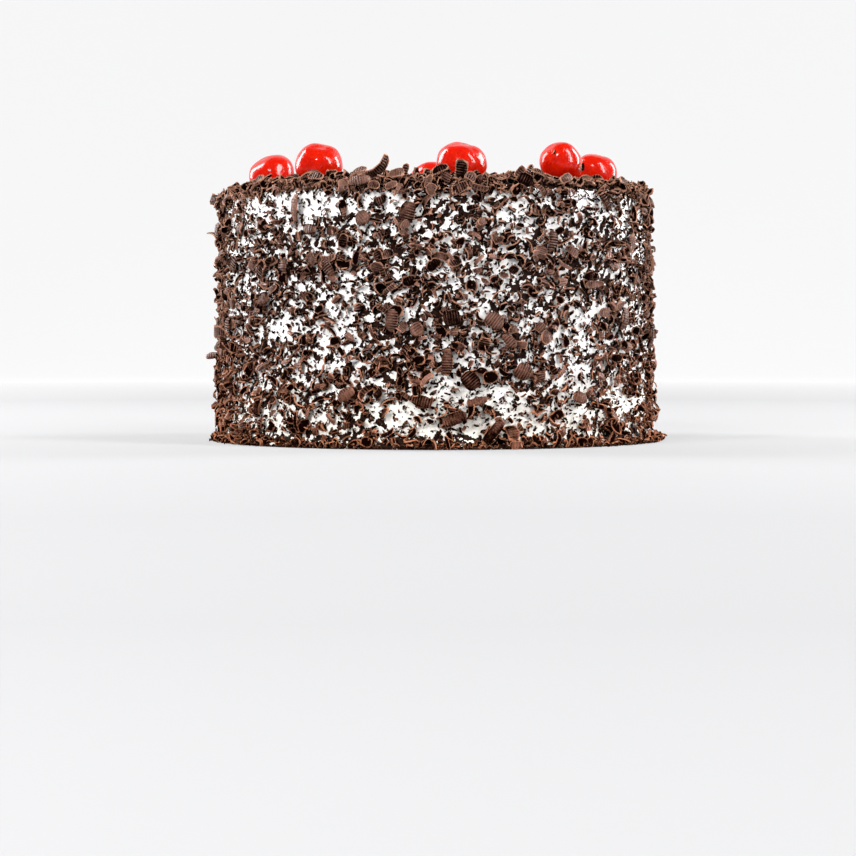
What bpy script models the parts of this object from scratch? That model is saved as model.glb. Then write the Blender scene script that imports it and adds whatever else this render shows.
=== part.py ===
"""A black forest cake: a tall round cake in whipped cream, coated all over with dark chocolate
shavings, with a ring of eight glazed cherries pressed into the top.

Metres, +Z up. The origin is the centre of the cake's foot, which rests on z = 0. The front faces -Y.
A bearing is the angle round the cake in degrees, from the front towards +X. A curl's sizes are in
millimetres, and everything else is in metres.
"""

import math
from collections import namedtuple

import bmesh
import bpy
from mathutils import Matrix, Vector, noise
from mathutils.bvhtree import BVHTree

MM = 0.001
GAP = 0.0004  # clearance between pieces that touch in the real cake

# The cake, measured over the cream and the shavings that lie flat in it
CAKE_HEIGHT = 0.1135  # foot to the top, which is level outside the ring of cherries
FOOT_RADIUS = 0.1000  # over the shavings that have slid down to the foot
FOOT_HEIGHT = 0.0045
WAIST_RADIUS = 0.0978  # halfway up
RIM_RADIUS = 0.0962
RIM_ROUND = 0.0065
BELLY = 1.6  # how late the side turns in above the waist, as a power
TUCK = 0.0006  # how far the side draws in above the foot
HEAP_RADIUS = 0.060  # the shavings lie thicker inside the ring of cherries
HEAP_RISE = 0.0025
ROUND_STEPS = 64
SIDE_STEPS = 14
RIM_STEPS = 4
TOP_STEPS = 7

# Unevenness of the coat: broad waves left by the palette knife, and the lumps of the shavings
WAVE_SIZE, WAVE_DEPTH = 0.045, 0.0011
LUMP_SIZE, LUMP_DEPTH = 0.0075, 0.0011
WELD = 0.00001  # the turned outline's two ends are joined within this distance
FLAT_FOOT = 0.0015  # below this height the coat is left round, so that the foot stays flat

# Cherries: the mesh that each starts from
CHERRY_SEGMENTS, CHERRY_RINGS = 14, 9
STEM_DIMPLE, STEM_DIMPLE_ANGLE = 0.20, 0.42  # depth as a share of the radius, width in radians
CHERRY_WRINKLE, CHERRY_WRINKLES = 0.035, 1.6  # depth as a share of the radius, and how many

# bearing, distance from the axis, height of its highest point, width, height along the stem's axis,
# lean of that axis and its bearing
Cherry = namedtuple("Cherry", "bearing ring top width height lean lean_bearing")
CHERRIES = (
    Cherry(8, 0.0747, 0.1278, 0.0227, 0.0190, 18, 30),
    Cherry(45, 0.0750, 0.1298, 0.0184, 0.0204, 40, -60),
    Cherry(95, 0.0718, 0.1286, 0.0210, 0.0190, 12, 60),
    Cherry(128, 0.0750, 0.1290, 0.0205, 0.0196, 25, 100),
    Cherry(182, 0.0752, 0.1300, 0.0220, 0.0200, 20, 200),
    Cherry(228, 0.0744, 0.1290, 0.0208, 0.0190, 35, 250),
    Cherry(264, 0.0750, 0.1290, 0.0222, 0.0186, 30, 300),
    Cherry(318.3, 0.0750, 0.1290, 0.0214, 0.0196, 28, 20),
)

# The large curls. length runs along the strip, sweep is the arc it is rolled through, turn is the
# angle of its length from level as seen from outside, lift tips one end off the cake, and a cupped
# curl has its hollow face outwards.
CURL_THICKNESS = 0.8
CURL_STEPS = 5
CURL_ACROSS = 2
CURL_RIB = 0.16  # height of the ridges that the blade leaves across a strip
CURL_TAPER = 0.42  # how much narrower a strip's ends are
CURL_CROWN = 0.22  # how far its edges bend down, as a share of the half width
SETTLES = 4  # times that a curl is moved before it lies at the clearance

Curl = namedtuple("Curl", "bearing height length width sweep turn lift cupped")
SIDE_CURLS = (
    Curl(-88, 38, 7.0, 3.2, 60, 20, -62, False),
    Curl(-84, 27, 13.0, 4.2, 45, 88, 4, False),
    Curl(-76, 92, 10.0, 6.0, 90, 60, 8, False),
    Curl(-61, 77, 8.5, 5.4, 85, 63, 5, False),
    Curl(-65, 51, 9.0, 5.0, 95, 80, 6, False),
    Curl(-47, 62, 8.5, 6.0, 80, 25, 6, False),
    Curl(-40, 76, 8.0, 4.4, 110, 88, 4, False),
    Curl(-36.5, 100, 12.0, 3.4, 55, 86, 3, False),
    Curl(-32, 91, 8.0, 4.4, 70, -6, 14, False),
    Curl(-27, 75, 10.0, 4.4, 75, -55, 4, False),
    Curl(-19, 110.5, 11.0, 4.4, 80, 8, 6, False),
    Curl(-18, 95, 7.5, 6.0, 90, 40, 6, False),
    Curl(-22, 22.5, 9.5, 5.2, 80, 32, 6, False),
    Curl(-7, 97, 10.5, 6.6, 60, 74, 4, False),
    Curl(-10.5, 53, 11.0, 5.4, 100, 84, 5, False),
    Curl(-4.5, 49.5, 8.5, 6.0, 150, 30, 4, True),
    Curl(-3.5, 20, 10.0, 5.2, 85, -14, 5, False),
    Curl(2.5, 36, 12.0, 4.6, 70, 88, 3, False),
    Curl(3.5, 54, 8.5, 7.0, 80, 10, 8, False),
    Curl(4.5, 13.0, 12.5, 5.6, 120, 18, 6, True),
    Curl(8, 28.5, 9.5, 7.4, 80, -52, 8, False),
    Curl(9.6, 19.8, 9.5, 3.6, 70, 14, 12, False),
    Curl(13.5, 7.5, 13.0, 4.6, 40, 48, 3, False),
    Curl(13.8, 53, 10.0, 6.4, 105, -36, 7, False),
    Curl(17.6, 44.5, 8.0, 4.2, 70, -45, 5, False),
    Curl(21, 32, 8.5, 7.4, 85, 60, 10, False),
    Curl(22, 111, 8.0, 5.4, 80, -25, 6, False),
    Curl(29, 86, 9.5, 4.4, 75, 84, 4, False),
    Curl(37, 21, 8.0, 5.0, 70, -16, 6, False),
    Curl(41, 68, 12.5, 3.4, 130, 6, 10, True),
    Curl(47, 103, 9.5, 4.4, 60, -58, 4, False),
    Curl(53, 54, 11.0, 4.8, 80, 80, 4, False),
    Curl(69, 47, 12.5, 5.0, 60, 84, 4, False),
)

# Curls of the same sizes on the rest of the side, spread by a rule. The steps pick the front's
# curls in another order.
BACK_CURLS = 9
BACK_STEP, BACK_START = 5, 3
BACK_TURN = 40  # half a turn of directions starts this far below level
BACK_FROM, BACK_TO = 92, 262  # bearings
BACK_LOW, BACK_HIGH = 16, 100  # heights
GOLDEN = 0.618034

# Curls lying on the heap in the middle of the top, inside the ring of cherries
TOP_CURLS = 8
TOP_STEP, TOP_START = 7, 4
TOP_CURL_RINGS = (0.022, 0.047)

PART = bpy.data.collections.new("black_forest_cake")
CUTTERS = bpy.data.collections.new("cutters")


def clear_scene():
    for old in list(bpy.data.objects):
        bpy.data.objects.remove(old)
    for collection in (PART, CUTTERS):
        bpy.context.scene.collection.children.link(collection)


def material(name, colour, roughness):
    made = bpy.data.materials.new(name)
    made.use_nodes = True
    shader = made.node_tree.nodes["Principled BSDF"]
    shader.inputs["Base Color"].default_value = (*colour, 1.0)
    shader.inputs["Roughness"].default_value = roughness
    shader.inputs["Metallic"].default_value = 0.0
    return made


def add_object(name, mesh, finish, collection):
    mesh.materials.clear()
    mesh.materials.append(finish)
    mesh.shade_smooth()
    made = bpy.data.objects.new(name, mesh)
    collection.objects.link(made)
    return made


def outward(bearing):
    angle = math.radians(bearing)
    return Vector((math.sin(angle), -math.cos(angle), 0))


# --- The cake -------------------------------------------------------------------------------


def side_radius(z):
    """Radius of the coat between the foot and the rim: a slight belly, narrower at the rim."""
    share = (z - FOOT_HEIGHT) / (CAKE_HEIGHT - RIM_ROUND - FOOT_HEIGHT)
    lean = WAIST_RADIUS + (RIM_RADIUS - WAIST_RADIUS) * max(0.0, 2 * share - 1) ** BELLY
    return lean - TUCK * (1 - min(1.0, 2 * share)) ** 2


def cake_profile():
    """Half outline from the axis at the top, out over the rim, down the side and back under the foot."""
    points = []
    flat_edge = RIM_RADIUS - RIM_ROUND
    for step in range(TOP_STEPS):
        radius = flat_edge * step / TOP_STEPS
        rise = 0.5 + 0.5 * math.cos(math.pi * min(1.0, radius / HEAP_RADIUS))
        points.append((radius, CAKE_HEIGHT + HEAP_RISE * rise))
    for step in range(RIM_STEPS + 1):
        angle = math.radians(90 * (1 - step / RIM_STEPS))
        height = CAKE_HEIGHT - RIM_ROUND * (1 - math.sin(angle))
        points.append((flat_edge + RIM_ROUND * math.cos(angle), height))
    top_of_side = CAKE_HEIGHT - RIM_ROUND
    for step in range(1, SIDE_STEPS + 1):
        height = top_of_side + (FOOT_HEIGHT - top_of_side) * step / SIDE_STEPS
        points.append((side_radius(height), height))
    points += [(FOOT_RADIUS, FLAT_FOOT), (FOOT_RADIUS, 0.0), (0.0, 0.0)]
    return points


def relief(point):
    """How far the coat stands out at a point, from the palette knife's waves and the shavings' lumps."""
    waves = noise.noise(point / WAVE_SIZE) * WAVE_DEPTH
    lumps = noise.noise(point / LUMP_SIZE) * LUMP_DEPTH
    return waves + lumps


def build_cake(finish):
    outline = bpy.data.meshes.new("cake_outline")
    points = [(radius, 0, height) for radius, height in cake_profile()]
    edges = [(first, first + 1) for first in range(len(points) - 1)]
    outline.from_pydata(points, edges, [])
    turned = bpy.data.objects.new("cake_turned", outline)
    CUTTERS.objects.link(turned)
    screw = turned.modifiers.new("turn", "SCREW")
    screw.steps = screw.render_steps = ROUND_STEPS
    screw.use_merge_vertices = True
    screw.merge_threshold = WELD
    bpy.context.view_layer.update()
    graph = bpy.context.evaluated_depsgraph_get()
    mesh = bpy.data.meshes.new_from_object(turned.evaluated_get(graph))
    bpy.data.objects.remove(turned)

    normals = [vertex.normal.copy() for vertex in mesh.vertices]
    for vertex, normal in zip(mesh.vertices, normals):
        if vertex.co.z > FLAT_FOOT:
            vertex.co += normal * relief(vertex.co)
    mesh.name = "cake"
    return add_object("cake", mesh, finish, PART)


# --- The cherries ---------------------------------------------------------------------------


def cherry_mesh(cherry, name, grow=0.0):
    """A fruit with a dimple where its stem was, a little wrinkled by the syrup. The stem's axis is +Z."""
    shape = bmesh.new()
    bmesh.ops.create_uvsphere(shape, u_segments=CHERRY_SEGMENTS, v_segments=CHERRY_RINGS, radius=1)
    seed = Vector((cherry.bearing, 0, 0))
    for vertex in shape.verts:
        unit = vertex.co.normalized()
        from_stem = unit.angle(Vector((0, 0, 1)))
        dimple = STEM_DIMPLE * math.exp(-((from_stem / STEM_DIMPLE_ANGLE) ** 2))
        swell = 1 - dimple + CHERRY_WRINKLE * noise.noise(unit * CHERRY_WRINKLES + seed)
        half = Vector((cherry.width / 2, cherry.width / 2, cherry.height / 2))
        vertex.co = unit * half * swell + unit * grow
    mesh = bpy.data.meshes.new(name)
    shape.to_mesh(mesh)
    shape.free()
    return mesh


def cherry_place(cherry, mesh):
    """Leans the fruit, then sets it on its ring at its height."""
    axis = outward(cherry.lean_bearing).cross(Vector((0, 0, 1))).normalized()
    leaned = Matrix.Rotation(-math.radians(cherry.lean), 4, axis)
    top = max((leaned @ vertex.co).z for vertex in mesh.vertices)
    centre = outward(cherry.bearing) * cherry.ring + Vector((0, 0, cherry.top - top))
    return Matrix.Translation(centre) @ leaned


def build_cherries(cake, finish):
    """The fruit, each in a seat pressed into the cake."""
    for number, cherry in enumerate(CHERRIES, 1):
        name = f"cherry_{number}"
        fruit = add_object(name, cherry_mesh(cherry, name), finish, PART)
        fruit.matrix_world = cherry_place(cherry, fruit.data)
        seat = add_object(name + "_seat", cherry_mesh(cherry, name + "_seat", GAP), finish, CUTTERS)
        seat.matrix_world = fruit.matrix_world
        seat.hide_render = True
        seat.display_type = "WIRE"
        press = cake.modifiers.new(name + "_seat", "BOOLEAN")
        press.operation = "DIFFERENCE"
        press.object = seat


# --- The large curls ------------------------------------------------------------------------


def curl_mesh(curl, name):
    """A strip rolled round its own width, ridged across, narrower and rounded at both ends."""
    shape = bmesh.new()
    bmesh.ops.create_grid(shape, x_segments=CURL_STEPS, y_segments=CURL_ACROSS, size=1)
    length, half_width = curl.length * MM, curl.width * MM / 2
    sweep = math.radians(curl.sweep)
    radius = length / sweep
    for vertex in shape.verts:
        along, across = vertex.co.x, vertex.co.y
        ridge = CURL_RIB * MM * math.cos(math.pi * (along + 1) * CURL_STEPS / 2)
        crown = CURL_CROWN * half_width * across**2
        angle = along * sweep / 2
        reach = radius + ridge - crown
        taper = 1 - CURL_TAPER * abs(along) ** 3
        vertex.co = Vector(
            (
                reach * math.sin(angle),
                across * half_width * taper,
                reach * math.cos(angle) - radius * math.cos(sweep / 4),
            )
        )
    mesh = bpy.data.meshes.new(name)
    shape.to_mesh(mesh)
    shape.free()
    return mesh


def curl_axes(curl, normal, level):
    """Turns a strip from its own axes to a spot whose normal and level direction are given."""
    up = normal.cross(level)
    spot = Matrix((level, up, normal)).transposed().to_4x4()
    turned = spot @ Matrix.Rotation(math.radians(curl.turn), 4, "Z")
    lifted = turned @ Matrix.Rotation(-math.radians(curl.lift), 4, "Y")
    return lifted @ Matrix.Rotation(math.pi if curl.cupped else 0, 4, "X")


def clearance(piece, surface):
    """The least distance from the piece's points to the surface, negative inside it."""
    graph = bpy.context.evaluated_depsgraph_get()
    mesh = piece.evaluated_get(graph).to_mesh()
    least = 1.0
    for vertex in mesh.vertices:
        point = piece.matrix_world @ vertex.co
        nearest, normal, _, _ = surface.find_nearest(point)
        least = min(least, (point - nearest).dot(normal))
    return least


def add_curl(name, curl, spot, normal, level, surface, finish):
    """Sets a curl down on the coat, moving it along the normal until it just clears."""
    piece = add_object(name, curl_mesh(curl, name), finish, PART)
    wall = piece.modifiers.new("thickness", "SOLIDIFY")
    wall.thickness = CURL_THICKNESS * MM
    wall.offset = -1
    place = curl_axes(curl, normal, level)
    for _ in range(SETTLES):
        piece.matrix_world = Matrix.Translation(spot) @ place
        bpy.context.view_layer.update()
        spot = spot + normal * (GAP - clearance(piece, surface))
    return piece


def back_curls():
    """Curls for the rest of the side, whose sizes repeat those of the front in another order."""
    for number in range(BACK_CURLS):
        share = (number * GOLDEN) % 1
        pattern = SIDE_CURLS[(number * BACK_STEP + BACK_START) % len(SIDE_CURLS)]
        yield pattern._replace(
            bearing=BACK_FROM + (BACK_TO - BACK_FROM) * (number + 0.5) / BACK_CURLS,
            height=BACK_LOW + (BACK_HIGH - BACK_LOW) * share,
            turn=180 * share - BACK_TURN,
        )


def build_curls(cake, finish):
    graph = bpy.context.evaluated_depsgraph_get()
    surface = BVHTree.FromObject(cake, graph)
    for number, curl in enumerate((*SIDE_CURLS, *back_curls()), 1):
        normal = outward(curl.bearing)
        level = Vector((0, 0, 1)).cross(normal)
        spot = normal * WAIST_RADIUS + Vector((0, 0, curl.height * MM))
        add_curl(f"side_curl_{number:02d}", curl, spot, normal, level, surface, finish)
    for number in range(TOP_CURLS):
        curl = SIDE_CURLS[(number * TOP_STEP + TOP_START) % len(SIDE_CURLS)]
        ring = TOP_CURL_RINGS[number % len(TOP_CURL_RINGS)]
        across = outward(360 * number / TOP_CURLS)
        spot = across * ring + Vector((0, 0, CAKE_HEIGHT + HEAP_RISE))
        level = Vector((0, 0, 1)).cross(across)
        name = f"top_curl_{number + 1}"
        add_curl(name, curl, spot, Vector((0, 0, 1)), level, surface, finish)


def main():
    clear_scene()
    coated = material("cream_and_shavings", (0.33, 0.24, 0.20), 0.6)
    glazed = material("glazed_cherry", (0.75, 0.01, 0.006), 0.1)
    chocolate = material("dark_chocolate", (0.055, 0.028, 0.020), 0.4)
    cake = build_cake(coated)
    build_cherries(cake, glazed)
    build_curls(cake, chocolate)


main()
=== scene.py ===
"""A black forest cake: sponge in whipped cream, coated all over with shavings of dark chocolate, with
a ring of eight glazed cherries pressed into the top.

Metres, +Z up. The cake's foot rests on z = 0 and its front faces -Y. A bearing is the angle round the
cake in degrees, from the front towards +X.
"""

import math

import bmesh
import bpy
import numpy as np
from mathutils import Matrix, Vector, noise
from mathutils.bvhtree import BVHTree


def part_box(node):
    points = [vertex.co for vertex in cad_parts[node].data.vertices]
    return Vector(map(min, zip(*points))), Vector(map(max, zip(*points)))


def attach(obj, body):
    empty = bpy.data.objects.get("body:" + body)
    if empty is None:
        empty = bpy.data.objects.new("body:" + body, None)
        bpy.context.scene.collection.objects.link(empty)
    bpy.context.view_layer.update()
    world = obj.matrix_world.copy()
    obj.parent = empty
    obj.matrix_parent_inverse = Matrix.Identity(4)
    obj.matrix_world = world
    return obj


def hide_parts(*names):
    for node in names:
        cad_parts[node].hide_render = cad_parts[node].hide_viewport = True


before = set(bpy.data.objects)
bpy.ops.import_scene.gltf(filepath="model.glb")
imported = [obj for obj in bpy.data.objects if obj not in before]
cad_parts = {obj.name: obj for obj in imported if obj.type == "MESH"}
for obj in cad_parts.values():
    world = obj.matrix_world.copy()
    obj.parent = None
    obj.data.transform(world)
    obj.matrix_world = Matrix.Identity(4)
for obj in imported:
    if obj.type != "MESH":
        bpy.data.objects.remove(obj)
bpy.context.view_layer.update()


# --- The whipped cream ----------------------------------------------------------------------------
# One coat of stiff cream over the sponge, spread with a palette knife and then pressed full of
# shavings. It shows where they lie thin, and it lies a little way inside the coated cake.

MM = 0.001
SIDE_RADIUS, TOP_HEIGHT, RIM_ROUND = 0.0978, 0.1135, 0.0065
CREAM_UNDER, CREAM_TOP_UNDER = 1.6 * MM, 3.6 * MM  # how far inside the coated cake the cream lies
LEAN, TOP_TILT = 1.7 * MM, 0.9 * MM  # the right side lies this much further in, the left rim lower
COAT_REACH = 12 * MM  # how far in and out the coated cake's face is looked for
ON_GROUND = 0.1 * MM
CREAM_STEPS = 400
CREAM_SIDE_STEPS, CREAM_RIM_STEPS, CREAM_TOP_STEPS = 76, 8, 24
KNIFE_WAVE, KNIFE_DEPTH = 8.0 * MM, 0.24 * MM
WHIP_LUMP, WHIP_DEPTH = 2.2 * MM, 0.09 * MM
noise.seed_set(4)  # so that the noise is the same each time

# Places on the front where the coat of shavings is thin: bearing, height in millimetres, half breadth
# in degrees, half height in millimetres, and how bare
THIN_PLACES = (
    (-50, 103, 9, 6.5, 1.4),
    (-38, 103, 6, 5, 1.15),
    (-54, 91, 6, 6.5, 0.5),
    (-31, 102, 4, 4.5, 1.4),
    (-22, 101, 6, 4.5, 0.45),
    (-14, 104, 5, 5, 0.85),
    (-6, 99, 4, 8, 0.38),
    (3, 106, 5, 4, 0.35),
    (10, 107, 6, 4, 0.4),
    (21, 97, 4, 9, 0.38),
    (32, 92, 3, 6, 0.5),
    (41, 104, 7, 5, 0.85),
    (56, 97, 6, 8, 0.6),
    (-21, 80, 3, 12, 0.18),
    (-56, 68, 3, 7, 0.45),
    (-3, 78, 4, 5, 0.4),
    (1, 70, 3, 4, 0.15),
    (0, 62, 6, 5, -0.3),
    (-2, 92, 6, 5, -0.2),
    (8, 74, 3, 5, 0.25),
    (13, 62, 4, 4, 0.22),
    (-23, 60, 4, 7, 0.65),
    (-28, 51, 5, 7, 0.8),
    (-41, 50, 6, 5, 0.75),
    (-7, 56, 4, 4, 0.35),
    (33, 58, 3, 6, 0.28),
    (33, 45, 4, 6, 0.65),
    (40, 52, 3, 5, 0.15),
    (47, 40, 6, 6, 0.32),
    (49, 58, 3, 5, 0.35),
    (10, 38, 3, 6, 0.25),
    (5, 25, 4, 6, 1.0),
    (13, 28, 3, 5, 0.65),
    (17, 20, 3, 5, 0.65),
    (23, 13, 6, 5, 0.65),
    (12, 10, 5, 4, 1.3),
    (3, 9, 6, 3.5, 0.65),
    (-8, 12, 5, 6, 0.7),
    (-13, 17, 3, 4, 0.5),
    (37, 14, 5.5, 6, 1.6),
    (38, 28, 4, 8, 0.75),
    (56, 18, 5, 8, 1.15),
    (66, 16, 4, 6, 0.6),
    (-45, 13, 8, 5, 0.6),
    (-29, 12, 5, 4, 0.7),
    (-55, 14, 5, 4, 0.4),
    (60, 75, 4, 6, 0.35),
    (64, 50, 4, 6, 0.35),
    (-8, 38, 9, 12, -0.6),
    (-12, 78, 7, 8, -0.5),
    (28, 72, 13, 7, -0.5),
    (9, 92, 5, 7, -0.45),
    (-68, 86, 6, 20, 0.35),
    (-66, 58, 5, 12, 0.3),
    (70, 86, 5, 20, 0.4),
    (68, 56, 6, 16, 0.35),
    (73, 30, 5, 18, 0.3),
    (24, 38, 6, 10, -0.35),
    (-42, 80, 12, 9, -0.45),
    (-50, 33, 12, 10, -0.3),
    (6, 50, 6, 6, -0.4),
)
PLACE_SHARE, PLACE_FALL = 0.86, 0.9  # how bare the thin places get, and how sharply they end
THIN_WARP, THIN_WARP_SIZE = 2.6 * MM, 6.0 * MM  # how far their outlines wander
THIN_FRONT, THIN_BLEND = 78, 10  # past this bearing the thin places come from noise instead
BACK_THIN, BACK_SIZE, BACK_NOISE = 0.44, 17.0 * MM, (0.04, 0.46)
SPARSE, SPARSE_SIZE, SPARSE_NOISE = 1.06, 2.9 * MM, (-0.1, 0.45)  # the small gaps everywhere
FULL_RIM, FULL_FOOT = (2.5 * MM, 5.5 * MM), (3.5 * MM, 9.0 * MM)  # where full bands end on the side
FULL_TOP, TOP_BAND = 0.25, 3 * MM  # how much fuller than full the coat on the top is


def ramp(value, low, high):
    """0 at low and below, 1 at high and above, smooth between them."""
    share = min(1.0, max(0.0, (value - low) / (high - low)))
    return share * share * (3 - 2 * share)


def bareness(point):
    """How thin the coat of shavings is at a point, from 0, full, to 1, bare cream."""
    place = Vector(point) + THIN_WARP * noise.noise_vector(Vector(point) / THIN_WARP_SIZE)
    bearing = math.degrees(math.atan2(place.x, -place.y))
    bare = 0.0
    for middle, height, half_breadth, half_height, most in THIN_PLACES:
        away = ((bearing - middle) / half_breadth) ** 2 + ((place.z / MM - height) / half_height) ** 2
        bare += PLACE_SHARE * most * math.exp(-PLACE_FALL * away * away)
    bare += SPARSE * ramp(noise.noise(place / SPARSE_SIZE), *SPARSE_NOISE)
    behind = ramp(abs(bearing), THIN_FRONT - THIN_BLEND, THIN_FRONT + THIN_BLEND)
    bare += behind * BACK_THIN * ramp(noise.noise(place / BACK_SIZE), *BACK_NOISE)
    on_side = ramp(TOP_HEIGHT - point[2], *FULL_RIM) * ramp(point[2], *FULL_FOOT)
    on_top = ramp(point[2], TOP_HEIGHT - TOP_BAND, TOP_HEIGHT)
    return min(1.0, max(0.0, bare)) * on_side - FULL_TOP * on_top


def cream_outline(shape):
    """Half section of the coat from the axis under the foot, up the side, round the rim to the axis."""
    points = [(0.0, 0.0)]
    top_of_side = TOP_HEIGHT - RIM_ROUND
    for step in range(CREAM_SIDE_STEPS + 1):
        points.append((SIDE_RADIUS, top_of_side * step / CREAM_SIDE_STEPS))
    for step in range(1, CREAM_RIM_STEPS + 1):
        angle = math.radians(90 * step / CREAM_RIM_STEPS)
        reach = SIDE_RADIUS - RIM_ROUND * (1 - math.cos(angle))
        points.append((reach, top_of_side + RIM_ROUND * math.sin(angle)))
    flat_edge = SIDE_RADIUS - RIM_ROUND
    for step in range(1, CREAM_TOP_STEPS + 1):
        points.append((flat_edge * (1 - step / CREAM_TOP_STEPS), TOP_HEIGHT))
    corners = [shape.verts.new((radius, 0, height)) for radius, height in points]
    return corners + [shape.edges.new(pair) for pair in zip(corners, corners[1:])]


cream_shape = bmesh.new()
bmesh.ops.spin(
    cream_shape,
    geom=cream_outline(cream_shape),
    cent=(0, 0, 0),
    axis=(0, 0, 1),
    angle=2 * math.pi,
    steps=CREAM_STEPS,
    use_merge=True,
)
bmesh.ops.remove_doubles(cream_shape, verts=cream_shape.verts, dist=0.001 * MM)
bmesh.ops.recalc_face_normals(cream_shape, faces=cream_shape.faces)
cream_shape.normal_update()

coated_cake = BVHTree.FromObject(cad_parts["cake"], bpy.context.evaluated_depsgraph_get())
thinness = cream_shape.verts.layers.float.new("bare")
moved = []
for corner in cream_shape.verts:
    facing = corner.normal.copy()
    if corner.co.z < ON_GROUND:
        facing = Vector((corner.co.x, corner.co.y, 0)).normalized()
    on_coat, _, _, _ = coated_cake.ray_cast(corner.co + facing * COAT_REACH, -facing, 2 * COAT_REACH)
    if on_coat is None:
        on_coat = corner.co.copy()
    upward = max(0.0, facing.z)
    under = CREAM_UNDER + (CREAM_TOP_UNDER - CREAM_UNDER) * upward
    under += LEAN * max(0.0, facing.x) + TOP_TILT * upward * max(0.0, -on_coat.x / SIDE_RADIUS)
    lump = KNIFE_DEPTH * noise.noise(Vector((on_coat.x, on_coat.y, on_coat.z * 2)) / KNIFE_WAVE)
    lump += WHIP_DEPTH * noise.noise(on_coat / WHIP_LUMP)
    moved.append(on_coat - facing * (under - lump))
    corner[thinness] = bareness(on_coat)
for corner, place in zip(cream_shape.verts, moved):
    if corner.co.z >= ON_GROUND:
        corner.co = place
    elif corner.co.xy.length > MM:
        corner.co.xy = place.xy
cream_surface = BVHTree.FromBMesh(cream_shape)
cream_mesh = bpy.data.meshes.new("whipped_cream")
cream_shape.to_mesh(cream_mesh)
cream_shape.free()
cream_mesh.shade_smooth()
whipped_cream = bpy.data.objects.new("whipped_cream", cream_mesh)
bpy.context.scene.collection.objects.link(whipped_cream)


def new_group(name, inputs, outputs):
    """An empty shader group with numbers in and numbers out."""
    group = bpy.data.node_groups.new(name, "ShaderNodeTree")
    for label, value in inputs:
        socket = group.interface.new_socket(label, in_out="INPUT", socket_type="NodeSocketFloat")
        socket.default_value = value
    for label in outputs:
        group.interface.new_socket(label, in_out="OUTPUT", socket_type="NodeSocketFloat")
    return group


def set_inputs(tree, node, inputs):
    """Sets a node's numbered or named inputs to values, or links them to sockets."""
    for key, value in dict(inputs).items():
        if isinstance(value, bpy.types.NodeSocket):
            tree.links.new(value, node.inputs[key])
        else:
            node.inputs[key].default_value = value


def add_node(tree, kind, inputs=(), **settings):
    """A new node with its settings and its inputs."""
    made = tree.nodes.new(kind)
    for setting, value in settings.items():
        setattr(made, setting, value)
    set_inputs(tree, made, inputs)
    return made


def reckoned(tree, operation, *values, **settings):
    """The result of a sum on values and sockets."""
    return add_node(tree, "ShaderNodeMath", enumerate(values), operation=operation, **settings).outputs[0]


def mapped(tree, value, low, high, least, most):
    """The range from low to high turned into the one from least to most, and held inside it."""
    return add_node(tree, "ShaderNodeMapRange", {0: value, 1: low, 2: high, 3: least, 4: most}).outputs[0]


def mixed(tree, share, first, second, **settings):
    """The first colour with a share of the second."""
    colours = {0: share, 6: first, 7: second}
    return add_node(tree, "ShaderNodeMix", colours, data_type="RGBA", **settings).outputs[2]


def clouds(tree, place, scale, detail, roughness=0.5):
    """Soft noise over a place in the object's own coordinates."""
    inputs = {"Vector": place, "Scale": scale, "Detail": detail, "Roughness": roughness}
    return add_node(tree, "ShaderNodeTexNoise", inputs).outputs["Fac"]


def grain_group():
    """Noise at two sizes: how pale a spot is, and how far it stands out."""
    group = new_group("food_grain", (("Size", 2.0), ("Spread", 1.0)), ("Tone", "Height"))
    ends = add_node(group, "NodeGroupInput").outputs
    place = add_node(group, "ShaderNodeTexCoord").outputs["Object"]
    scale = reckoned(group, "DIVIDE", 1 / MM, ends["Size"])
    coarse = clouds(group, place, scale, 3.0)
    fine = clouds(group, place, reckoned(group, "MULTIPLY", scale, FINER), 2.0)
    centred = reckoned(group, "SUBTRACT", reckoned(group, "ADD", coarse, fine), 1.0)
    tone = reckoned(group, "MULTIPLY_ADD", centred, ends["Spread"], 0.5)
    add_node(group, "NodeGroupOutput", {"Tone": tone, "Height": fine})
    return group


def new_material(name):
    """A material with its node tree and its Principled BSDF."""
    made = bpy.data.materials.new(name)
    made.use_nodes = True
    return made, made.node_tree, made.node_tree.nodes["Principled BSDF"]


def placed(tree, group, **values):
    """The outputs of a group set into a material's tree with its own values."""
    return add_node(tree, "ShaderNodeGroup", values, node_tree=group).outputs


FINER = 4.3  # how many times smaller the fine grain is than the coarse
food_grain = grain_group()
CREAM_WHITE = (0.90, 0.885, 0.865, 1)
CREAM_WARM_BOUNCE = (0.88, 0.82, 0.70, 1)
WARM_BOUNCE_HEIGHT, WARM_BOUNCE_SHARE = 0.035, 0.7  # painted warm reflected light: the cream looks a little warmer towards the foot
CRUMB_AND_SHADE_DARK = (0.0025, 0.0008, 0.0006, 1)
CRUMB_BROWN = (0.034, 0.015, 0.010, 1)
DUST_AND_SHADE_SCALE = 420.0
DUST_AND_SHADE_FULL, DUST_AND_SHADE_BARE = 0.33, 0.72  # the lower this limit, the more of the cream the chocolate dust and painted shade cover


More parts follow.
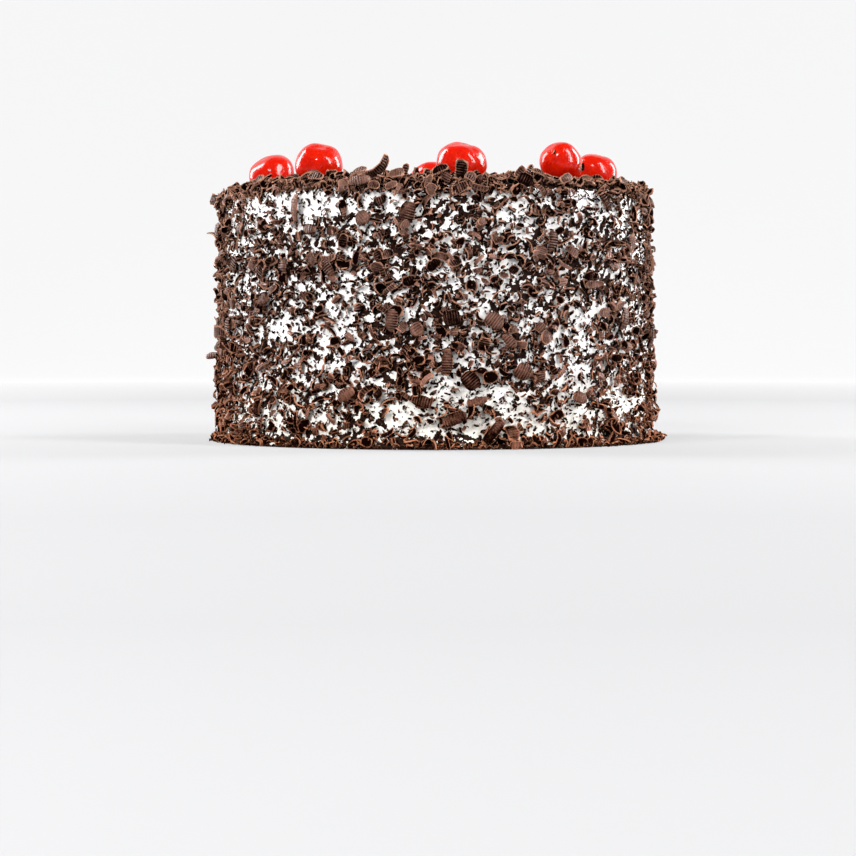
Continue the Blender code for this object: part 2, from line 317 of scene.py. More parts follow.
def cream_material():
    """White cream with chocolate dust and crumbs between the shavings, near black as painted shade there.
    """
    made, tree, shader = new_material("whipped_cream")
    place = add_node(tree, "ShaderNodeTexCoord").outputs["Object"]
    height = add_node(tree, "ShaderNodeSeparateXYZ", {0: place}).outputs["Z"]
    # painted warm reflected light from below, stronger towards the foot
    painted_warm_bounce = mapped(tree, height, WARM_BOUNCE_HEIGHT, 0.0, 0.0, WARM_BOUNCE_SHARE)
    cream = mixed(tree, painted_warm_bounce, CREAM_WHITE, CREAM_WARM_BOUNCE)
    grain = placed(tree, food_grain, Size=1.6, Spread=1.6)
    # painted shade: between the shavings the dust and crumbs are near black, and they cover more where the
    # coat is full
    crumb_and_shade = mixed(tree, grain["Tone"], CRUMB_AND_SHADE_DARK, CRUMB_BROWN)
    bare = add_node(tree, "ShaderNodeAttribute", attribute_name="bare").outputs["Fac"]
    limit = mapped(tree, bare, -0.25, 0.8, DUST_AND_SHADE_FULL, DUST_AND_SHADE_BARE)
    over = reckoned(tree, "SUBTRACT", clouds(tree, place, DUST_AND_SHADE_SCALE, 2.0, 0.55), limit)
    dust_and_shade = mapped(tree, over, -0.01, 0.01, 0.0, 1.0)
    relief = reckoned(tree, "ADD", dust_and_shade, grain["Height"])
    bump = add_node(tree, "ShaderNodeBump", {"Height": relief, "Distance": 0.0003, "Strength": 0.6})
    finish = {
        "Base Color": mixed(tree, dust_and_shade, cream, crumb_and_shade),
        "Normal": bump.outputs[0],
        "Specular IOR Level": mapped(tree, dust_and_shade, 0.0, 1.0, 0.3, 0.04),
        "Roughness": 0.55,
    }
    set_inputs(tree, shader, finish)
    return made


cream_mesh.materials.append(cream_material())
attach(whipped_cream, "root")
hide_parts("cake")


# --- The cherries ---------------------------------------------------------------------------------
# Eight whole candied cherries, stoned and stemmed, pressed into the cream in a ring. Their skin is
# drawn into shallow dents by the sugar, and a thick red syrup covers it.

CHERRIES = 8
SMOOTH_LEVELS = 2
SHARP = math.radians(50)
FLAT_PAIR, SQUARE_PAIR = math.radians(40), math.radians(60)  # which triangles join in pairs
CHERRY_DENT, CHERRY_DENT_DEPTH = 5.6 * MM, 0.50 * MM
CHERRY_DEEP, CHERRY_BRIGHT = (0.365, 0.0040, 0.0004, 1), (0.535, 0.0090, 0.0007, 1)
SYRUP_FACING, SYRUP_EDGE = 0.9, 0.06  # how thick the syrup shines, seen square on and at the edge


def refined(node, crease=0.0):
    """A smooth, finely divided copy of a CAD node's mesh, welded first, its sharp edges creased."""
    shape = bmesh.new()
    shape.from_mesh(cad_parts[node].data)
    bmesh.ops.remove_doubles(shape, verts=shape.verts, dist=0.01 * MM)
    bmesh.ops.join_triangles(
        shape, faces=shape.faces, angle_face_threshold=FLAT_PAIR, angle_shape_threshold=SQUARE_PAIR
    )
    held = shape.edges.layers.float.new("crease_edge")
    for edge in shape.edges:
        edge[held] = crease if edge.calc_face_angle(0) > SHARP else 0.0
    coarse = bpy.data.meshes.new(node)
    shape.to_mesh(coarse)
    shape.free()
    holder = bpy.data.objects.new(node, coarse)
    bpy.context.scene.collection.objects.link(holder)
    smooth = holder.modifiers.new("smooth", "SUBSURF")
    smooth.levels = smooth.render_levels = SMOOTH_LEVELS
    graph = bpy.context.evaluated_depsgraph_get()
    fine = bpy.data.meshes.new_from_object(holder.evaluated_get(graph))
    bpy.data.objects.remove(holder)
    bpy.data.meshes.remove(coarse)
    return fine


def cherry_material():
    """Red candied flesh that glows a little from within, under a coat of clear syrup."""
    made, tree, shader = new_material("glazed_cherry")
    tone = placed(tree, food_grain, Size=3.5, Spread=1.2)["Tone"]
    bump = add_node(tree, "ShaderNodeBump", {"Height": tone, "Distance": 0.0004, "Strength": 0.35})
    turned_away = add_node(tree, "ShaderNodeLayerWeight", {"Blend": 0.5}).outputs["Facing"]
    finish = {
        "Base Color": mixed(tree, tone, CHERRY_DEEP, CHERRY_BRIGHT),
        "Normal": bump.outputs[0],
        "Roughness": 0.16,
        "Specular IOR Level": 0.15,
        "Subsurface Weight": 0.5,
        "Subsurface Radius": (1.0, 0.12, 0.06),
        "Subsurface Scale": 0.003,
        "Coat Weight": mapped(tree, turned_away, 0.45, 0.78, SYRUP_FACING, SYRUP_EDGE),
        "Coat IOR": 1.36,
        "Coat Roughness": 0.03,
    }
    set_inputs(tree, shader, finish)
    return made


glazed = cherry_material()
cherry_balls = []  # each one's middle and radius, which the loose shavings keep clear of
for number in range(1, CHERRIES + 1):
    node = f"cherry_{number}"
    low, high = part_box(node)
    cherry_balls.append(((low + high) / 2, (high - low).length / (2 * math.sqrt(3))))
    skin = refined(node)
    facings = [corner.normal.copy() for corner in skin.vertices]
    for corner, facing in zip(skin.vertices, facings):
        dent = CHERRY_DENT_DEPTH * noise.noise(corner.co / CHERRY_DENT)
        corner.co += facing * dent
    skin.shade_smooth()
    skin.materials.clear()
    skin.materials.append(glazed)
    fruit = bpy.data.objects.new(f"glazed_{node}", skin)
    bpy.context.scene.collection.objects.link(fruit)
    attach(fruit, "root")
    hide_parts(node)


# --- The large curls of chocolate -----------------------------------------------------------------
# The biggest shavings, which stand out one by one: broad strips that rolled up as the blade pushed
# them off a block of dark chocolate, ridged across by its chatter. They lie on the finer ones.

TONE_SPREAD = 0.38
HOLLOW_SHADE, DEEP_SHADE, SHADE_DEPTH = 0.78, 1.12, 3.1  # painted shade: how much darker inside a roll, and low in the coat down to this many millimetres
CURL_CREASE = 0.85
CURL_WAVE, CURL_WOBBLE = 1.8 * MM, 0.22 * MM
CURL_TONE, CURL_SPREAD = 0.06, 0.6
CURL_EDGE_SHADE = 0.35  # painted shade: how much darker a large curl is at its long edges, which turn away from the light
CHOCOLATE_DARK = (0.0035, 0.0011, 0.0008, 1)
CHOCOLATE_LIGHT = (0.212, 0.095, 0.065, 1)
# the colour of the painted highlight on the edges of the shavings
CHOCOLATE_EDGE_HIGHLIGHT = (0.53, 0.266, 0.178, 1)
WARM_BOUNCE_TINT = (1.22, 0.99, 0.80, 1)  # painted warm reflected light from below: what the colour is multiplied by at the foot
RIDGE_PITCH = 1.1  # millimetres
RIDGE_FAINT, RIDGE_CLEAR, RIDGE_PATCHES = 0.05, 0.24, 110.0


def chocolate_material():
    """Dark chocolate with a bloom on it, painted highlights on its edges, and ridges across each strip."""
    made, tree, shader = new_material("dark_chocolate")
    place = add_node(tree, "ShaderNodeTexCoord").outputs["Object"]
    height = add_node(tree, "ShaderNodeSeparateXYZ", {0: place}).outputs["Z"]
    tone = add_node(tree, "ShaderNodeAttribute", attribute_name="tone").outputs["Fac"]
    cut_highlight = add_node(tree, "ShaderNodeAttribute", attribute_name="cut_highlight").outputs["Fac"]
    strip = add_node(tree, "ShaderNodeAttribute", attribute_name="strip").outputs["Vector"]
    on_strip = add_node(tree, "ShaderNodeSeparateXYZ", {0: strip}).outputs
    grain = placed(tree, food_grain, Size=2.4, Spread=0.9)

    wave = reckoned(tree, "SINE", reckoned(tree, "MULTIPLY", on_strip["X"], 2 * math.pi / RIDGE_PITCH))
    patches = clouds(tree, place, RIDGE_PATCHES, 0.0)
    chatter = reckoned(tree, "MULTIPLY", wave, mapped(tree, patches, 0.42, 0.58, RIDGE_FAINT, RIDGE_CLEAR))
    # painted light and shade: the ridges are paler on their crests and darker in their grooves, on top of
    # the random grain
    ridge_shade_and_grain = reckoned(tree, "ADD", chatter, grain["Tone"])
    # painted shade: the chocolate darkens over its lowest ten millimetres, towards the foot
    tone_with_foot_shade = reckoned(tree, "SUBTRACT", tone, mapped(tree, height, 0.010, 0.003, 0.0, 0.3))
    shade = reckoned(tree, "ADD", tone_with_foot_shade, ridge_shade_and_grain, use_clamp=True)
    body = mixed(tree, shade, CHOCOLATE_DARK, CHOCOLATE_LIGHT)
    # painted highlight: a pale line along the rim of each strip's faces, and on the raised cut sides
    edge_highlight = reckoned(tree, "MAXIMUM", mapped(tree, on_strip["Z"], 0.88, 1.0, 0.0, 0.62), cut_highlight)
    highlighted = mixed(tree, edge_highlight, body, CHOCOLATE_EDGE_HIGHLIGHT)
    # painted warm reflected light, stronger towards the foot
    painted_warm_bounce = mapped(tree, height, 0.055, 0.005, 0.0, 1.0)

    relief = reckoned(tree, "MULTIPLY_ADD", chatter, 4.0, grain["Height"])
    bump = add_node(tree, "ShaderNodeBump", {"Height": relief, "Distance": 0.00032, "Strength": 0.9})
    finish = {
        "Base Color": mixed(tree, painted_warm_bounce, highlighted, WARM_BOUNCE_TINT, blend_type="MULTIPLY"),
        "Normal": bump.outputs[0],
        "Specular IOR Level": mapped(tree, shade, 0.2, 0.75, 0.0, 0.5),
        "Roughness": 0.42,
    }
    set_inputs(tree, shader, finish)
    return made


chocolate = chocolate_material()
shades = np.random.default_rng(7)
curl_nodes = sorted(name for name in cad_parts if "_curl_" in name)
curl_shape = bmesh.new()
curl_tone = curl_shape.verts.layers.float.new("tone")
curl_strip = curl_shape.verts.layers.float_vector.new("strip")
for node in curl_nodes:
    first = len(curl_shape.verts)
    skin = refined(node, CURL_CREASE)
    curl_shape.from_mesh(skin)
    bpy.data.meshes.remove(skin)
    curl_shape.verts.ensure_lookup_table()
    corners = curl_shape.verts[first:]
    for corner in corners:
        corner.co += CURL_WOBBLE * noise.noise_vector(corner.co / CURL_WAVE)
    places = np.array([corner.co for corner in corners])
    places -= places.mean(axis=0)
    _, _, axes = np.linalg.svd(places, full_matrices=False)
    along, across = places @ axes[0] / MM, places @ axes[1] / MM
    rim = np.maximum(np.abs(along) / np.abs(along).max(), np.abs(across) / np.abs(across).max())
    tone = CURL_TONE + CURL_SPREAD * shades.normal(0, TONE_SPREAD)
    # painted shade, darker towards each curl's long edges, and darker still inside its roll
    painted_edge_shade = CURL_EDGE_SHADE * (across / np.abs(across).max()) ** 2
    for corner, dark, *strip in zip(corners, painted_edge_shade, along, across, rim):
        corner[curl_tone] = tone - dark - HOLLOW_SHADE * (corner.normal.dot(corner.co) < 0)
        corner[curl_strip] = strip
curl_mesh = bpy.data.meshes.new("large_curls")
curl_shape.to_mesh(curl_mesh)
curl_shape.free()
curl_mesh.shade_smooth()
curl_mesh.materials.clear()
curl_mesh.materials.append(chocolate)
large_curls = bpy.data.objects.new("large_curls", curl_mesh)
bpy.context.scene.collection.objects.link(large_curls)
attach(large_curls, "root")
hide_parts(*curl_nodes)


# --- The loose shavings ---------------------------------------------------------------------------
# The rest of the scraped chocolate, pressed onto the cream by the handful: rolled strips, thin scales,
# small chips and crumbs. They lie in every direction, most with the hollow side in, some on edge.

TAPER, TAPER_POWERS = (0.05, 0.40), (4, 6, 9)  # how much a strip narrows, and how near its ends
SKEW, BOW = 0.10, 0.06  # how far it slants and bends sideways
CROWN, ROUND_END = (0.0, 0.12), 0.12  # how far it arches across, and how round its ends are
NO_RIM_STEPS = 2  # chips and crumbs get no painted rim highlight
CUT_HIGHLIGHT = 0.78  # how strong the painted highlight on the cut sides of raised shavings is
CUT_SHARP = math.radians(34)
LOOSE_TONE = -0.16
UNEVEN = (0.8, 1.2)
SPIRAL = math.pi * (3 - math.sqrt(5))
SHAKEN = 0.4  # how far the evenly spread places are shaken, in shares of their gap
SIDE_LOWEST, SIDE_HIGHEST = 0.4 * MM, TOP_HEIGHT - 1 * MM
RIM_INNER, RIM_OUTER = 0.086, SIDE_RADIUS + 1.5 * MM
FOOT_GAP, FOOT_SPREAD = 0.5 * MM, 1.3 * MM
CHERRY_CLEAR, TABLE_CLEAR = 0.3 * MM, 0.05 * MM
ONE_PLACE = 0.001 * MM  # faces this near to a place meet in it
RAISED = 3.4 * MM  # how far the shavings may stand out of the cream
RAISED_LEAST, RAISED_MORE, RAISED_MOST = 0.72, 0.40, 2.3  # in shares of that
RAISED_TOP, TOP_SHADE = 0.2, 0.9  # how much more they may stand out on the top, and how much more painted shade they get there


def shaving(steps, across, length, width, thick, sweep, rough, ridge, ragged):
    """One shaving in millimetres: a strip rolled round its width, convex side up.

    Gives its corners, how far each lies along, across and towards the rim, its faces, and which
    corners are on the hollow side.
    """
    shape = bmesh.new()
    bmesh.ops.create_grid(shape, x_segments=steps, y_segments=across, size=1)
    strip_layer = shape.verts.layers.float_vector.new("strip")
    skin_layer = shape.verts.layers.float.new("skin")
    roll = math.radians(sweep)
    radius = length / max(roll, 0.05)
    taper, skew, bow = rough.uniform(*TAPER), rough.normal(0, SKEW), rough.normal(0, BOW)
    blunt, crown = rough.choice(TAPER_POWERS), rough.uniform(*CROWN)
    waver = rough.normal(0, ragged, (steps + 1, 2))
    ends = rough.normal(0, ragged, (across + 1, 2))
    for corner in shape.verts:
        u, w = corner.co.x, corner.co.y
        row, column = round((u + 1) * steps / 2), round((w + 1) * across / 2)
        side = waver[row, 0 if w < 0 else 1] * abs(w)
        half = width / 2 * (1 - taper * abs(u) ** blunt) * (1 + side)
        stretch = u * (1 - ROUND_END * w * w + ends[column, 0 if u < 0 else 1] * abs(u))
        angle = stretch * roll / 2
        reach = radius + ridge * math.cos(math.pi * row) - crown * width * w * w
        rim = max(abs(u), abs(w)) if steps > NO_RIM_STEPS else 0
        corner[strip_layer] = (u * length / 2, w * width / 2, rim)
        corner[skin_layer] = reach
        sideways = half * w + skew * width * u + bow * length * u * u
        corner.co = Vector((reach * math.sin(angle), sideways, reach * math.cos(angle) - radius))
    bmesh.ops.solidify(shape, geom=shape.faces[:], thickness=thick)
    shape.verts.index_update()
    corners = np.array([corner.co for corner in shape.verts])
    strips = np.array([corner[strip_layer] for corner in shape.verts])
    faces = np.array([[corner.index for corner in face.verts] for face in shape.faces])
    outer = np.array([corner[skin_layer] for corner in shape.verts])
    hollow = np.hypot(corners[:, 0], corners[:, 2] + radius) < outer - thick / 2
    shape.free()
    return corners, strips, faces, hollow


def turned(axis, angles):
    """Rotation matrices about one axis, one for each angle."""
    cos, sin = np.cos(angles), np.sin(angles)
    made = np.zeros((len(angles), 3, 3))
    first, second = [(1, 2), (2, 0), (0, 1)][axis]
    made[:, axis, axis] = 1
    made[:, first, first] = made[:, second, second] = cos
    made[:, first, second], made[:, second, first] = -sin, sin
    return made


def ring(radius, bearing, height):
    """Places at a radius, a bearing and a height each."""
    return np.stack((radius * np.sin(bearing), -radius * np.cos(bearing), height), axis=1)


def side_spots(count, spin):
    """Places spread evenly over the side by the golden angle, then shaken out of line."""
    number = np.arange(count) + 0.5
    gap = math.sqrt(2 * math.pi * SIDE_RADIUS * TOP_HEIGHT / count)
    height = TOP_HEIGHT * number / count + spin.normal(0, SHAKEN * gap, count)
    bearing = number * SPIRAL + spin.normal(0, SHAKEN * gap / SIDE_RADIUS, count)
    return ring(SIDE_RADIUS, bearing, np.clip(height, SIDE_LOWEST, SIDE_HIGHEST))


def top_spots(count, spin, inner=0.0):
    """The same over the top, from an inner radius to the rim."""
    number = (np.arange(count) + 0.5) / count
    squares = RIM_OUTER**2 - inner**2
    gap = math.sqrt(math.pi * squares / count)
    radius = np.sqrt(inner**2 + number * squares) + spin.normal(0, SHAKEN * gap, count)
    bearing = np.arange(count) * SPIRAL + spin.normal(0, SHAKEN, count) * gap / np.maximum(radius, MM)
    return ring(np.clip(radius, 0, RIM_OUTER), bearing, np.full(count, TOP_HEIGHT + 1 * MM))


def foot_spots(count, spin):
    """Places on the ground, close round the foot, where the shavings that slid down lie."""
    bearing = spin.uniform(0, 2 * math.pi, count)
    radius = SIDE_RADIUS + FOOT_GAP + np.abs(spin.normal(0, FOOT_SPREAD, count))
    return ring(radius, bearing, np.zeros(count))


def joined(name, patterns, kind, corners, raised, tones):
    """One piece from many shavings: their kinds, corners, how far they are raised, and their tones."""
    faces = patterns[0][2][None] + (np.arange(len(kind)) * corners.shape[1])[:, None, None]
    strips = np.stack([pattern[1] for pattern in patterns])[kind]
    inner = np.stack([pattern[3] for pattern in patterns])[kind]
    # painted shade: darker on the hollow side of each roll, and darker the lower a shaving lies in the coat
    depth = 1 - np.clip(raised / SHADE_DEPTH, 0, 1)
    tones = tones - HOLLOW_SHADE * inner - DEEP_SHADE * depth
    # painted highlight on the cut sides, fading the lower a shaving lies in the coat
    sides = inner[:, patterns[0][2]].mean(axis=2)
    cut_highlight = CUT_HIGHLIGHT * ((sides > 0) & (sides < 1)) * (1 - depth.mean(axis=1))[:, None]
    mesh = bpy.data.meshes.new(name)
    mesh.from_pydata(corners.reshape(-1, 3), [], faces.reshape(-1, faces.shape[2]))
    mesh.attributes.new("tone", "FLOAT", "POINT").data.foreach_set("value", tones.ravel())
    mesh.attributes.new("strip", "FLOAT_VECTOR", "POINT").data.foreach_set("vector", strips.ravel())
    mesh.attributes.new("cut_highlight", "FLOAT", "FACE").data.foreach_set("value", cut_highlight.ravel())
    mesh.shade_smooth()
    mesh.set_sharp_from_angle(angle=CUT_SHARP)
    mesh.materials.append(chocolate)
    piece = bpy.data.objects.new(name, mesh)
    bpy.context.scene.collection.objects.link(piece)
    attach(piece, "root")


def resting(spot):
    """The nearest place on the cream, and the way that the faces which meet there look together."""
    place, _, _, _ = cream_surface.find_nearest(spot)
    facings = {face: facing for _, facing, face, _ in cream_surface.find_nearest_range(place, ONE_PLACE)}
    return place, sum(facings.values(), Vector()).normalized()


def resting_places(spin, side, top, rim, foot, kept):
    """Where so many shavings lie on the cream and round the foot, and which way they face there."""
    spots = np.vstack((side_spots(side, spin), top_spots(top, spin), top_spots(rim, spin, RIM_INNER)))
    bare = np.array([bareness(spot) for spot in spots])
    spots = spots[spin.random(len(spots)) < kept[0] + (kept[1] - kept[0]) * bare]
    place, facing = np.zeros_like(spots), np.zeros_like(spots)
    for index, spot in enumerate(spots):
        place[index], facing[index] = resting(Vector(spot))
    flat = np.hypot(place[:, 0], place[:, 1]) < SIDE_RADIUS - RIM_ROUND
    facing[flat] = (0, 0, 1)
    place = np.vstack((place, foot_spots(foot, spin)))
    facing = np.vstack((facing, np.tile((0.0, 0.0, 1.0), (foot, 1))))
    clear = np.ones(len(place), bool)
    for middle, radius in cherry_balls:
        clear &= np.linalg.norm(place - np.array(middle), axis=1) > radius + CHERRY_CLEAR
    return place[clear], facing[clear]


def poses(spin, place, facing, tilt, on_edge, hollow_out):
    """How each shaving is turned: any way round on the cream, tilted, on edge or hollow side out."""
    count = len(place)
    bearing = np.arctan2(place[:, 0], -place[:, 1])
    level = np.stack((np.cos(bearing), np.sin(bearing), np.zeros(count)), axis=1)
    up = np.cross(facing, level)
    up /= np.linalg.norm(up, axis=1)[:, None]
    level = np.cross(up, facing)
    axes = np.stack((level, up, facing), axis=2)
    roll = np.radians(spin.normal(0, tilt, count))
    roll += np.where(spin.random(count) < hollow_out, math.pi, 0)
    roll += np.where(spin.random(count) < on_edge, math.pi / 2, 0)
    pose = axes @ turned(2, spin.uniform(0, 2 * math.pi, count))
    return pose @ turned(1, np.radians(spin.normal(0, tilt, count))) @ turned(0, roll)


def scatter(name, patterns, seed, side, top, rim, foot, sizes, layer, tilt, on_edge, hollow_out, kept):
    """Joins one kind of shaving, laid all over the cake, into one piece.

    side, top, rim and foot say how many lie there, sizes is a range, layer the range of millimetres
    that they lie above the cream, tilt is in degrees, on_edge and hollow_out are shares, and kept
    gives the shares that stay in the full and in the thin places.
    """
    spin = np.random.default_rng(seed)
    place, facing = resting_places(spin, side, top, rim, foot, kept)
    count = len(place)
    pose = poses(spin, place, facing, tilt, on_edge, hollow_out)
    size = spin.uniform(*sizes, (count, 1)) * spin.uniform(*UNEVEN, (count, 3)) * MM
    kind = spin.integers(0, len(patterns), count)
    shapes = np.stack([pattern[0] for pattern in patterns])[kind] * size[:, None, :]
    corners = np.einsum("nij,nkj->nki", pose, shapes)
    reaches = np.einsum("nkj,nj->nk", corners, facing)
    rest = spin.uniform(*layer, count) * MM - reaches.min(axis=1)
    share = np.minimum(RAISED_LEAST + spin.exponential(RAISED_MORE, count), RAISED_MOST)
    most = RAISED * share * (1 + RAISED_TOP * facing[:, 2])
    rest = np.minimum(rest, most - reaches.max(axis=1))
    corners += (place + facing * rest[:, None])[:, None, :]
    sunk = np.minimum(0, corners[:, :, 2].min(axis=1) - TABLE_CLEAR)
    corners[:, :, 2] -= sunk[:, None]
    raised = np.einsum("nkj,nj->nk", corners - place[:, None, :], facing) / MM
    # on the top the shavings count as lower, so that more painted shade falls on them
    raised /= 1 + TOP_SHADE * np.maximum(0, facing[:, 2:])
    joined(name, patterns, kind, corners, raised, spin.normal(LOOSE_TONE, TONE_SPREAD, (count, 1)))


def shavings(steps, across, lengths, widths, thick, sweeps, ragged, ridge=0.0):
    """Shavings with lengths and widths from two ranges, one for each sweep in degrees."""
    made = []
    for sweep in sweeps:
        length, width = rough.uniform(*lengths), rough.uniform(*widths)
        made.append(shaving(steps, across, length, width, thick, sweep, rough, ridge, ragged))
    return made


rough = np.random.default_rng(11)
broad_curls = shavings(6, 2, (7, 10), (3.4, 5.4), 0.6, (60, 80, 100, 125, 150, 190, 240, 300), 0.08, 0.05)
rolled_strips = shavings(5, 2, (4.0, 5.5), (2.6, 4.6), 0.5, (150, 200, 260, 320), 0.08)
rolled_strips += shavings(5, 2, (5.0, 8.0), (1.4, 2.4), 0.5, (50, 80, 110, 150, 190), 0.08)
scales = shavings(3, 2, (2.2, 3.2), (1.8, 3.4), 0.45, (70, 120, 180, 240), 0.10)
scales += shavings(3, 2, (3.0, 5.0), (1.0, 1.8), 0.45, (40, 80, 120, 160, 200), 0.10)
chips = shavings(2, 1, (1.7, 3.4), (0.6, 1.2), 0.42, (20, 40, 70, 100, 130, 160), 0.12)
crumbs = shavings(1, 1, (0.9, 2.0), (0.35, 0.75), 0.4, (20,) * 6, 0.25)
scatter(
    "crumbs", crumbs, 31, side=15000, top=1500, rim=500, foot=900, sizes=(0.5, 1.3), layer=(-0.15, 0.4),
    tilt=35, on_edge=0.2, hollow_out=0.3, kept=(0.53, 0.90),
)
scatter(
    "chips", chips, 32, side=8600, top=1400, rim=500, foot=420, sizes=(0.7, 1.3), layer=(-0.1, 0.8),
    tilt=30, on_edge=0.2, hollow_out=0.3, kept=(0.82, 0.48),
)
scatter(
    "scales", scales, 33, side=3500, top=1300, rim=260, foot=90, sizes=(0.75, 1.4), layer=(0.0, 1.7),
    tilt=28, on_edge=0.26, hollow_out=0.34, kept=(1, 0.12),
)
scatter(
    "rolled_strips", rolled_strips, 34, side=2350, top=820, rim=220, foot=40, sizes=(0.7, 1.25),
    layer=(0.1, 1.8), tilt=24, on_edge=0.27, hollow_out=0.33, kept=(1, 0.10),
)
scatter(
    "broad_curls", broad_curls, 35, side=950, top=700, rim=90, foot=0, sizes=(0.6, 1.0), layer=(0.3, 2.0),
    tilt=18, on_edge=0.15, hollow_out=0.25, kept=(1, 0.08),
)


# --- The shavings that stand up along the rim -----------------------------------------------------
# Strips of the same chocolate that stand out against the wall behind, or lean on the front rim: a horn,
# a splinter, an arch before a cherry, a ridged flake against the front cherry, a tuft right of it,
# flakes that hang over the rim, a chip between two cherries and a crumb stuck to one.

RIM_HIGHLIGHT_FROM = 5  # the ones up to this length get no painted rim highlight
STAND_CLEAR = 9.0  # millimetres that they count as standing out, so that none gets the painted shade of low shavings

# bearing, the middle's distance from the axis and height, length, width and sweep, then the turn from
# level, the roll and the tone
STANDING = (
    (-14.8, 94, 115.7, 14.0, 4.4, 95, 32, 48, -0.26),
    (-7.9, 94, 114.6, 6.0, 2.6, 35, 72, 20, -0.3),
    (-33.6, 94, 114.2, 12.5, 3.4, 95, 2, -78, -0.2),
    (6.2, 93.5, 114.8, 8.8, 5.2, 30, 80, 0, -0.5),
    (21.5, 94, 114.4, 6.5, 3.2, 60, 35, -40, -0.25),
    (24.0, 94, 115.0, 6.0, 2.6, 50, 70, 20, -0.2),
    (27.0, 94, 114.2, 7.5, 3.2, 80, -20, -50, -0.25),
    (47.4, 84.2, 118.4, 3.8, 2.0, 40, 85, 0, -0.5),
    (39.4, 78.6, 124.2, 2.0, 1.3, 40, 60, 0, -0.5),
    (-52.0, 96.2, 112.6, 6.5, 3.4, 70, 12, -30, -0.15),
    (-31.6, 96.0, 113.0, 7.5, 3.4, 70, -8, -30, -0.3),
    (-19.8, 94.5, 114.8, 6.4, 3.4, 60, 5, -50, -0.05),
    (-15.2, 98.2, 108.6, 5.2, 3.2, 60, -20, -5, -0.2),
    (-9.9, 95.8, 113.4, 7.2, 4.4, 60, 10, -38, 0.0),
    (-10.9, 98.2, 108.4, 5.6, 2.6, 50, 18, 0, 0.0),
    (-1.9, 97.8, 109.8, 6.4, 2.4, 70, 78, 0, -0.1),
    (-1.2, 98.4, 106.6, 5.4, 4.2, 70, 60, 0, -0.05),
    (0.8, 94.8, 115.0, 7.5, 3.2, 50, 20, -25, -0.55),
    (2.4, 96.8, 111.8, 4.4, 3.8, 90, 60, -18, -0.15),
    (8.3, 96.6, 111.8, 5.2, 3.8, 80, -30, -20, -0.05),
    (34.0, 96.4, 112.2, 6.5, 3.6, 70, 25, -25, -0.1),
    (56.0, 96.2, 112.6, 6.5, 3.6, 70, -15, -30, -0.15),
)
standing, corners = [], []
for bearing, reach, height, length, width, sweep, turn, roll, _ in STANDING:
    shape, strips, faces, hollow = shaving(6, 2, length, width, 0.6, sweep, rough, 0.05, 0.04)
    if length <= RIM_HIGHLIGHT_FROM:
        strips[:, 2] = 0
    standing.append((shape, strips, faces, hollow))
    bearing = math.radians(bearing)
    out = Vector((math.sin(bearing), -math.cos(bearing), 0))
    level = Vector((math.cos(bearing), math.sin(bearing), 0))
    axes = np.array((level, (0, 0, 1), out)).T
    pose = axes @ turned(2, np.radians([turn]))[0] @ turned(0, np.radians([roll]))[0]
    middle = np.array(out) * reach + np.array((0, 0, height))
    corners.append(((shape - shape.mean(axis=0)) @ pose.T + middle) * MM)
corners = np.array(corners)
raised = np.full(corners.shape[:2], STAND_CLEAR)
tones = np.array([row[-1:] for row in STANDING])
joined("standing_shavings", standing, np.arange(len(STANDING)), corners, raised, tones)


# --- The table, the light and the camera ----------------------------------------------------------
# A white sweep of paper under and behind the cake, tall windows of soft light on either side and a
# small one above the camera, which stands a little above the cake's foot.

ROOM_RADIUS, ROOM_TURN, ROOM_TOP = 2.6, 0.9, 3.2
ROOM_STEPS, TURN_STEPS = 64, 16
sweep_shape = bmesh.new()
section = [(0.0, 0.0), (0.4, 0.0), (1.0, 0.0)]
for step in range(TURN_STEPS + 1):
    angle = math.radians(90 * step / TURN_STEPS)
    reach = ROOM_RADIUS - ROOM_TURN * (1 - math.sin(angle))
    section.append((reach, ROOM_TURN * (1 - math.cos(angle))))
section.append((ROOM_RADIUS, ROOM_TOP))
row = [sweep_shape.verts.new((reach, 0, height)) for reach, height in section]
edges = [sweep_shape.edges.new(pair) for pair in zip(row, row[1:])]
bmesh.ops.spin(
    sweep_shape,
    geom=row + edges,
    cent=(0, 0, 0),
    axis=(0, 0, 1),
    angle=2 * math.pi,
    steps=ROOM_STEPS,
    use_merge=True,
)
bmesh.ops.remove_doubles(sweep_shape, verts=sweep_shape.verts, dist=MM)
bmesh.ops.recalc_face_normals(sweep_shape, faces=sweep_shape.faces)
sweep_mesh = bpy.data.meshes.new("paper_sweep")
sweep_shape.to_mesh(sweep_mesh)
sweep_shape.free()
sweep_mesh.shade_smooth()

PAPER_GREY = (0.22, 0.22, 0.225, 1)
SEEN_FLOOR, SEEN_WALL = 0.38, 0.775  # how white the paper looks before the lamps light it
FLOOR_END, WALL_START = 0.7, 1.4
LAMPLIT, LAMPLIT_LESS = (0.0, -0.75, 0.0), 0.13  # where the lamps whiten the floor enough already
LAMPLIT_MOST, LAMPLIT_END = 0.3, 0.75
BACK_GLOW = 0.75  # the light that the paper behind the cake gives
GLOW_START, GLOW_FULL = 0.6, 2.0


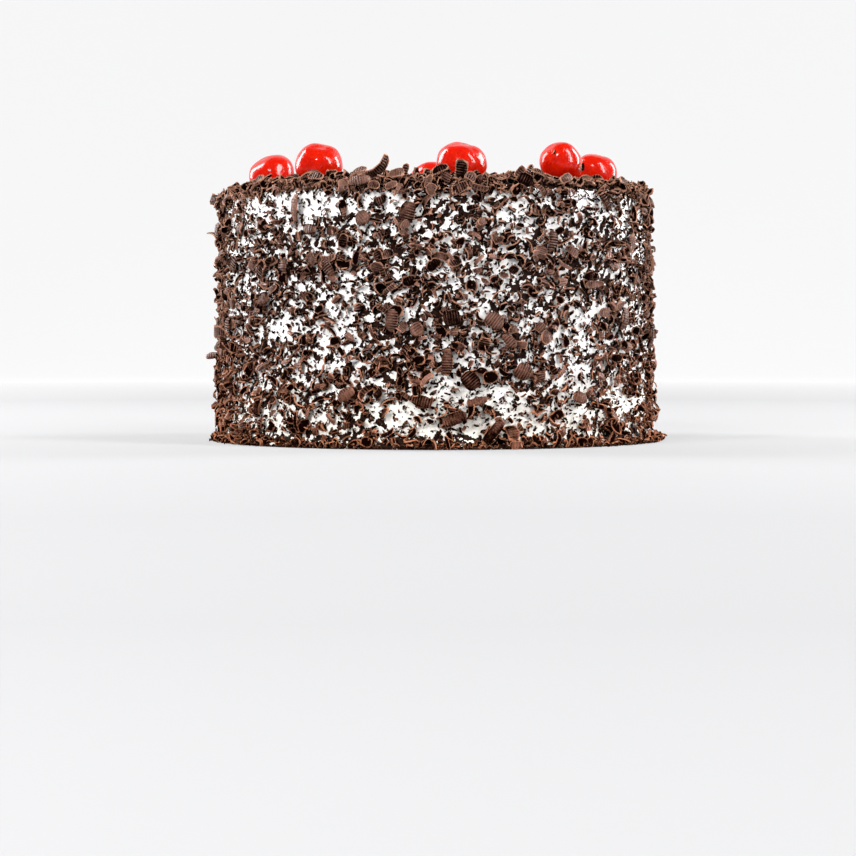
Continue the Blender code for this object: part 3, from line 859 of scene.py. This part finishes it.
def paper_material():
    """Paper that gives its light from behind the cake alone, and looks evenly white to the camera."""
    made, tree, shader = new_material("white_paper")
    place = add_node(tree, "ShaderNodeTexCoord").outputs["Object"]
    depth = add_node(tree, "ShaderNodeSeparateXYZ", {0: place}).outputs["Y"]
    out = add_node(tree, "ShaderNodeVectorMath", {0: place}, operation="LENGTH").outputs["Value"]
    shown = mapped(tree, out, FLOOR_END, WALL_START, SEEN_FLOOR, SEEN_WALL)
    lamplit = add_node(tree, "ShaderNodeVectorMath", {0: place, 1: LAMPLIT}, operation="DISTANCE")
    less = mapped(tree, lamplit.outputs["Value"], LAMPLIT_MOST, LAMPLIT_END, LAMPLIT_LESS, 0.0)
    even = reckoned(tree, "SUBTRACT", shown, less)
    behind = mapped(tree, depth, GLOW_START, GLOW_FULL, 0.0, BACK_GLOW)
    seen = add_node(tree, "ShaderNodeLightPath").outputs["Is Camera Ray"]
    finish = {
        "Base Color": PAPER_GREY,
        "Emission Color": (1, 1, 1, 1),
        "Emission Strength": mapped(tree, seen, 0.0, 1.0, behind, even),
        "Roughness": 0.9,
        "Specular IOR Level": 0.1,
    }
    set_inputs(tree, shader, finish)
    return made


sweep_mesh.materials.append(paper_material())
paper_sweep = bpy.data.objects.new("paper_sweep", sweep_mesh)
bpy.context.scene.collection.objects.link(paper_sweep)

world = bpy.data.worlds.new("white_room")
world.use_nodes = True
set_inputs(
    world.node_tree,
    world.node_tree.nodes["Background"],
    {"Color": (0.96, 0.97, 1.0, 1), "Strength": 0.08},
)
bpy.context.scene.world = world


def soft_light(name, place, width, height, power, mirrored=True):
    """A rectangular window of light that faces the cake, and whether glossy things mirror it."""
    lamp = bpy.data.lights.new(name, "AREA")
    lamp.shape = "RECTANGLE"
    lamp.size, lamp.size_y = width, height
    lamp.energy = power
    holder = bpy.data.objects.new(name, lamp)
    holder.location = place
    holder.rotation_euler = (CAKE_MIDDLE - Vector(place)).to_track_quat("-Z", "Y").to_euler()
    holder.visible_glossy = mirrored
    bpy.context.scene.collection.objects.link(holder)


CAKE_MIDDLE = Vector((0, 0, 0.07))
soft_light("left_window", (-1.00, 0.45, 0.60), 0.45, 1.2, 25)
soft_light("left_front", (-0.75, -1.00, 0.55), 0.30, 0.7, 16.5, mirrored=False)
soft_light("right_window", (0.92, -0.72, 0.75), 0.28, 1.3, 22)
soft_light("right_back", (1.05, 0.40, 0.50), 0.40, 1.0, 20)
soft_light("front_lamp", (-0.36, -1.15, 0.95), 0.22, 0.18, 6.5)

CAMERA_PLACE = (0, -1.098, 0.0475)
LOOK_DOWN, LOOK_LEFT = 2.2035, 0.19935  # degrees
SENSOR_WIDTH, LENS_LENGTH = 36.0, 102.743  # millimetres
lens = bpy.data.cameras.new("camera")
lens.sensor_width = SENSOR_WIDTH
lens.lens = LENS_LENGTH
lens.clip_start = 0.01
camera = bpy.data.objects.new("camera", lens)
camera.location = CAMERA_PLACE
camera.rotation_euler = (math.radians(90 - LOOK_DOWN), 0, math.radians(LOOK_LEFT))
bpy.context.scene.collection.objects.link(camera)
bpy.context.scene.camera = camera
bpy.context.scene.view_settings.view_transform = "Standard"
